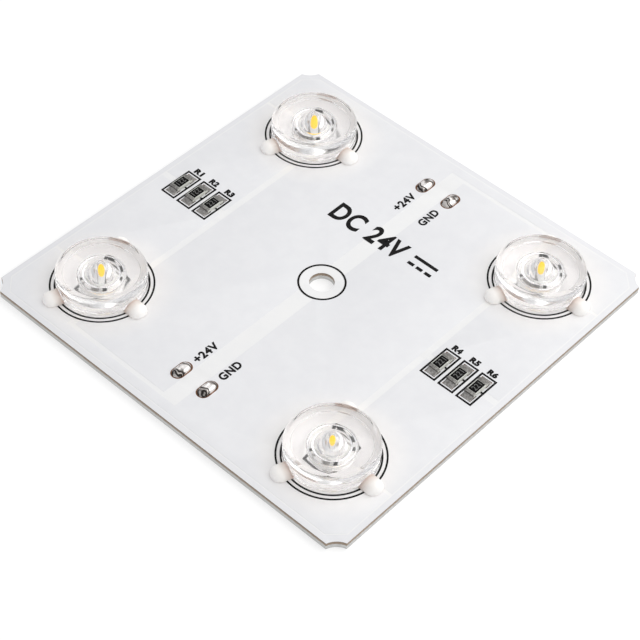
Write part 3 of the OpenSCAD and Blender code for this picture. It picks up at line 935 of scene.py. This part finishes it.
# %% Stamp slabs, coats and caps
ceramic = finish(
    "white_ceramic", (0.56, 0.57, 0.52), (0.70, 0.705, 0.655), 0.12, (0.45, 0.65),
    relief=0.006, fine=0.05)
coat = finish(
    "black_coat", (0.001, 0.001, 0.001), (0.004, 0.004, 0.004), 0.25, (0.30, 0.45),
    relief=0.008, fine=0.12, Specular_IOR_Level=0.06)
tin = finish(
    "tinned_cap", (0.16, 0.155, 0.148), (0.32, 0.31, 0.295), 0.25, (0.26, 0.42),
    relief=0.006, fine=0.07, Metallic=1.0)
chip_spots = [(p.x, p.y, 0) for p in chip_places]
for stem, title, width, material, slot in (
        ("resistor_body", "resistor_slabs", 0.03, ceramic, "ceramic_white"),
        ("resistor_coat", "resistor_coats", 0.025, coat, "coat_black"),
        ("resistor_ends", "resistor_caps", 0.018, tin, "cap_tin")):
    stamped(title, softened(stem + "_1", width * MM), chip_spots, material,
            replaces=[f"{stem}_{i}" for i in range(1, 7)], angle=30)

# %% Figures on the coats
FIGURES_X, FIGURES_Y, FIGURES_WEIGHT = (-0.42, 0.42), (-0.72, 0.72), 0.004
FIGURES_SINK, FIGURES_THICK = 0.004 * MM, 0.008 * MM
FIGURES_TURNS = [180, 180, 0, 0, 0, 0]
coat_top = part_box("resistor_coat_1")[1].z
figures = finish("pale_figures", (0.10, 0.10, 0.096), (0.16, 0.16, 0.152), 0.1, (0.5, 0.7), fine=0.05)
value = word("221", FIGURES_X, FIGURES_Y, 90, FIGURES_WEIGHT, coat_top - FIGURES_SINK, FIGURES_THICK)
stamped("resistor_values", value, chip_spots, figures, turns=FIGURES_TURNS)

# %% [markdown]
# ## Solder at the resistors
# Molten solder climbs the end cap and runs out over the pad in a hollow slope, and its outer
# corners are round. The joint is a small grid whose height follows that rule, so no
# two edges stay straight. It is stamped twice at each resistor, once for each end.

# %% Height of a solder joint
JOINT_SAG, JOINT_LUMP = 0.12, 0.10
TOE_SHARE, TOE_THICK, CAP_SPARE = 0.14, 0.006 * MM, 0.03 * MM
LUMP_SEED = 4.2


def joint_height(u, v, rise):
    """The joint's height above the foil, u from the cap to the toe, v from side to side."""
    edge = (1 - abs(v) ** 7) ** 0.5 * (1 - u ** 9) ** 0.5
    slope = TOE_SHARE + (1 - TOE_SHARE) * (1 - u) ** 2.1 * (1 - JOINT_SAG * v * v)
    lump = 1 + JOINT_LUMP * noise.noise(Vector((3 * u, 3 * v, LUMP_SEED)))
    return min(TOE_THICK + (rise - CAP_SPARE) * slope * lump * edge, rise)


# %% A solder joint
JOINT_NARROWING, JOINT_BOW = 0.16, 0.10


def rim(grid):
    """The points round the edge of a grid, in turn."""
    right, left = [row[-1] for row in grid[:-1]], [row[0] for row in grid[:0:-1]]
    return grid[0][:-1] + right + grid[-1][:0:-1] + left


def solder_joint(half, out, rise, rows=16, columns=18):
    """A closed slope from a face at y = 0 to y = out, standing on the foil."""
    bm = bmesh.new()
    top, under = [], []
    for a in range(rows + 1):
        u = a / rows
        places = []
        for b in range(columns + 1):
            v = 2 * b / columns - 1
            x = half * (1 - JOINT_NARROWING * u ** 4) * v
            y = out * (1 - JOINT_BOW * v ** 4) * u
            places.append((x, y, z_foil + joint_height(u, v, rise)))
        top.append([bm.verts.new(place) for place in places])
        under.append([bm.verts.new((x, y, z_foil)) for x, y, z in places])
    skin(bm, top)
    skin(bm, under)
    skin(bm, [rim(top), rim(under)], closed=True)
    return mesh_of(bm, "joint", 50)


# %% Stamp the joints
chip_end = (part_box("resistor_ends_1")[1].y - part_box("resistor_ends_1")[0].y) / 2
joint_low, joint_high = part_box("resistor_solder_1")
joint_out = (joint_high.y - joint_low.y) / 2 - chip_end
joint_half = (joint_high.x - joint_low.x) / 2
joint = solder_joint(joint_half, joint_out, joint_high.z - z_foil)
joint_spots = [(p.x, p.y + s * chip_end, 0) for p in chip_places for s in (1, -1)]
stamped("resistor_joints", joint, joint_spots, solder, turns=[0, 180] * 6,
        replaces=[f"resistor_solder_{i}" for i in range(1, 7)], angle=50)

# %% [markdown]
# ## Solder on the wire pads
# The four wire pads carry blobs of bright solder that froze as they were dabbed on, so each is
# lumpy in its own way and leaves a thin rim of copper. A blob is a set of rings on the pad's
# rounded outline, raised by a flat-topped curve and pushed about by smooth noise. A mirror this
# small shows mostly dark and bright bands across its length, and here these are painted reflections
# in the colour. They follow a point's place along the pad, kept as "along", and two noise fields
# bend them.

# %% Finish of the blobs
# Colours of painted reflections: the bright softbox and darker surroundings mirrored in the solder.
PAINTED_BRIGHT, PAINTED_DARK = (0.93, 0.90, 0.885), (0.03, 0.026, 0.024)
WANDER, STREAK = 0.26, 0.10
bright_solder, tree, shader = empty_finish("bright_solder")
place = add_node(tree, "ShaderNodeAttribute", attribute_name="along").outputs["Fac"]
wander = spread(tree, grain(tree, 1.1, detail=0), -WANDER, WANDER)
streak = spread(tree, grain(tree, 0.5, detail=0, stretch=(0.5, 1, 1)), -STREAK, STREAK)
bent = sums(tree, "ADD", place, sums(tree, "ADD", wander, streak))
# Painted reflections: bright and dark bands along the pad are put into the base colour.
painted_reflections = ramp(tree, mapped(tree, bent, -1.0, 1.0), [
    (0.03, (0.70, 0.66, 0.63)), (0.08, PAINTED_DARK), (0.15, PAINTED_DARK), (0.20, (0.62, 0.58, 0.55)),
    (0.25, PAINTED_DARK), (0.32, (0.05, 0.044, 0.04)), (0.37, (0.88, 0.84, 0.82)), (0.60, PAINTED_BRIGHT),
    (0.68, (0.40, 0.365, 0.34)), (0.80, (0.06, 0.052, 0.048)), (0.91, (0.85, 0.82, 0.80))])
put_on(
    shader, Base_Color=painted_reflections, Roughness=spread(tree, grain(tree, 0.3), 0.14, 0.30),
    Normal=bump(tree, grain(tree, 0.35), 0.03), Metallic=1.0)
print("blob finish:", len(tree.nodes), "nodes")

# %% Shape of a blob
LUMPS_PER_M, WAVES_PER_M = 1400, 1100
BLOB_RISE, BLOB_LUMP, BLOB_FILL, BLOB_WAVE = 0.80, 0.17, 0.965, 0.045


def obround(half_w, half_l, angle):
    """The point of a rectangle with round ends in this direction round its middle."""
    run = half_l - half_w
    c, s = math.cos(angle), math.sin(angle)
    return half_w * c, half_w * s + (run if s > 0 else -run) * min(1, abs(s) * 2.2)


def blob(bm, low, high, seed, rings=22, steps=72):
    """Adds a lumpy drop of solder that fits in the box from low to high."""
    centre = (low + high) / 2
    half_w, half_l, tall = (high.x - low.x) / 2, (high.y - low.y) / 2, high.z - low.z
    rows = []
    for a in range(rings + 1):
        s = a / rings
        row = []
        for k in range(steps):
            x, y = obround(half_w, half_l, 2 * math.pi * k / steps)
            lump = noise.noise(Vector((x * s * LUMPS_PER_M, y * s * LUMPS_PER_M, seed)))
            rise = (1 - s ** 3.2) ** 0.62 * (BLOB_RISE + BLOB_LUMP * lump)
            wave = noise.noise(Vector((x * WAVES_PER_M, y * WAVES_PER_M, seed + 9)))
            out = s * (BLOB_FILL + BLOB_WAVE * wave)
            row.append(bm.verts.new((centre.x + x * out, centre.y + y * out, low.z + tall * max(rise, 0))))
        rows.append(row)
    skin(bm, rows, closed=True)
    bm.faces.new(rows[-1])


# %% Set the four blobs
bm = bmesh.new()
for side, node in enumerate(("wire_solder_upper", "wire_solder_lower")):
    low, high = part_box(node)
    half_gap = min(v.co.x for v in nodes[node].data.vertices if v.co.x > 0)
    for flip in (-1, 1):
        inner, outer = sorted((flip * half_gap, flip * high.x))
        seed = 3.1 * side + 1.7 * flip + 5
        blob(bm, Vector((inner, low.y, low.z)), Vector((outer, high.y, high.z)), seed)
blob_mesh = mesh_of(bm, "wire_pad_solder", 60)
pad_low, pad_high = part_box("wire_solder_upper")
pad_middle, pad_half = (pad_low.y + pad_high.y) / 2, (pad_high.y - pad_low.y) / 2
shares = [(v.co.y - math.copysign(pad_middle, v.co.y)) / pad_half for v in blob_mesh.vertices]
along = blob_mesh.attributes.new("along", "FLOAT", "POINT")
along.data.foreach_set("value", shares)
blobs = show("wire_pad_solder", blob_mesh, bright_solder)
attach(blobs, "root")
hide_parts("wire_solder_upper", "wire_solder_lower")
print("solder blobs:", len(blobs.data.polygons), "faces")

# %% [markdown]
# ## Floor
# The panel lies on a plain white floor. Part of its white is a glow that only the camera, mirrors
# and clear pieces see, so that it reads as white while the panel's shadow stays. It reaches far
# out, so that a low view also ends in white.

# %% Floor
FLOOR_HALF, FLOOR_DROP, FLOOR_GLOW = 12, 0.02 * MM, 0.5
floor_finish, tree, shader = empty_finish("white_floor")
path = add_node(tree, "ShaderNodeLightPath").outputs
seen = sums(tree, "MAXIMUM", path["Is Camera Ray"], path["Is Glossy Ray"])
seen = sums(tree, "MAXIMUM", seen, path["Is Transmission Ray"])
put_on(
    shader, Base_Color=(0.55, 0.55, 0.55, 1), Roughness=0.9, Emission_Color=(1, 1, 1, 1),
    Emission_Strength=sums(tree, "MULTIPLY", seen, FLOOR_GLOW))
bm = bmesh.new()
bmesh.ops.create_grid(bm, x_segments=1, y_segments=1, size=FLOOR_HALF)
floor_mesh = mesh_of(bm, "floor")
floor_mesh.transform(Matrix.Translation((0, 0, -FLOOR_DROP)))
floor = show("floor", floor_mesh, floor_finish)
floor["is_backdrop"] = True
print("floor:", 2 * FLOOR_HALF, "m wide")

# %% [markdown]
# ## Light
# A panel like this is photographed in a white room. The world is brighter on one side and overhead,
# cooler on the other side, and white in a low band behind the floor's far edge. One large
# softbox stands near on the bright side, so light falls off across the board. Both are set so that a
# colour renders about as it is written.

# %% World
BRIGHT_SIDE = (0.73, 0.68, 0)
SIDE_DIM, SIDE_FULL = 0.58, 1.20
LOW_LIGHT, HIGH_LIGHT, HIGH_FROM = 0.50, 1.03, 0.55
HORIZON, HORIZON_END = 0.05, 0.07
COOL, WARM = (0.955, 0.97, 1.0), (1.0, 0.993, 0.975)
world = bpy.data.worlds.new("white_studio")
bpy.context.scene.world = world
world.use_nodes = True
tree = world.node_tree
towards = add_node(tree, "ShaderNodeTexCoord").outputs["Generated"]
aside = vectors(tree, "DOT_PRODUCT", towards, BRIGHT_SIDE)["Value"]
upward = parts(tree, towards)["Z"]
across = mapped(tree, aside, -1.0, 1.0, SIDE_DIM, SIDE_FULL)
above = mapped(tree, upward, 0.0, HIGH_FROM, LOW_LIGHT, HIGH_LIGHT)
low_band = mapped(tree, upward, HORIZON, HORIZON_END, 1.0, 0.0)
strength = sums(tree, "MAXIMUM", sums(tree, "MULTIPLY", across, above), low_band)
tint = ramp(tree, mapped(tree, aside, -1.0, 1.0), [(0.0, COOL), (1.0, WARM)])
put_on(tree.nodes["Background"], Strength=strength, Color=tint)
print("world:", len(tree.nodes), "nodes")

# %% Softbox
KEY_PLACE, KEY_SIZE, KEY_POWER = Vector((0.104, 0.117, 0.195)), 0.26, 0.20
lamp = bpy.data.lights.new("key_softbox", "AREA")
lamp.size = KEY_SIZE
lamp.energy = KEY_POWER
key = show("key_softbox", lamp)
key.location = KEY_PLACE
key.rotation_euler = (-KEY_PLACE).to_track_quat("-Z", "Y").to_euler()
print("softbox", round(KEY_PLACE.length, 2), "m away")

# %% [markdown]
# ## Camera
# The photograph was solved for its camera from the board's four edges: a long lens, seen from
# the lower right corner and about 48 degrees above the board.

# %% Camera
RIGHT = Vector((0.7343813, 0.6779145, 0.0334061))
DOWN = Vector((0.5183784, -0.5284249, -0.6723473))
AHEAD = Vector((-0.4381414, 0.5110763, -0.7394816))
EYE = Vector((118.58, -138.33, 192.25)) * MM
camera = bpy.data.cameras.new("camera")
camera.lens = 106.414
camera.sensor_width = 36
camera.sensor_fit = "HORIZONTAL"
camera.clip_start = 0.005
viewer = show("camera", camera)
turned = Matrix((RIGHT, -DOWN, -AHEAD)).transposed().to_4x4()
viewer.matrix_world = Matrix.Translation(EYE + Vector((0, 0, z_mask))) @ turned
bpy.context.scene.camera = viewer
bpy.context.scene.view_settings.view_transform = "Standard"
print("camera looks down at", round(math.degrees(math.asin(-AHEAD.z)), 1), "degrees")

# %% [markdown]
# ## Light paths
# What is seen inside a lens has crossed many clear faces: the dome, the hollow, the LED's own
# surface and back. A path that ends too early turns black, so the limits are raised. Cycles can
# also blur glossy paths to calm noise, but that darkens what lies under clear pieces, so it is off.

# %% Light paths
paths = bpy.context.scene.cycles
paths.max_bounces = 24
paths.diffuse_bounces = 8
paths.glossy_bounces = 16
paths.transmission_bounces = 24
paths.blur_glossy = 0.0
print("light paths: up to", paths.max_bounces, "bounces")

# %% [markdown]
# ## The dressed part's box
# The dressed part keeps the CAD model's box. Its box is measured and printed.

# %% Box of the dressed part
low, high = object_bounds()
print("visual box:", [round(v / MM, 3) for v in high - low], "mm")
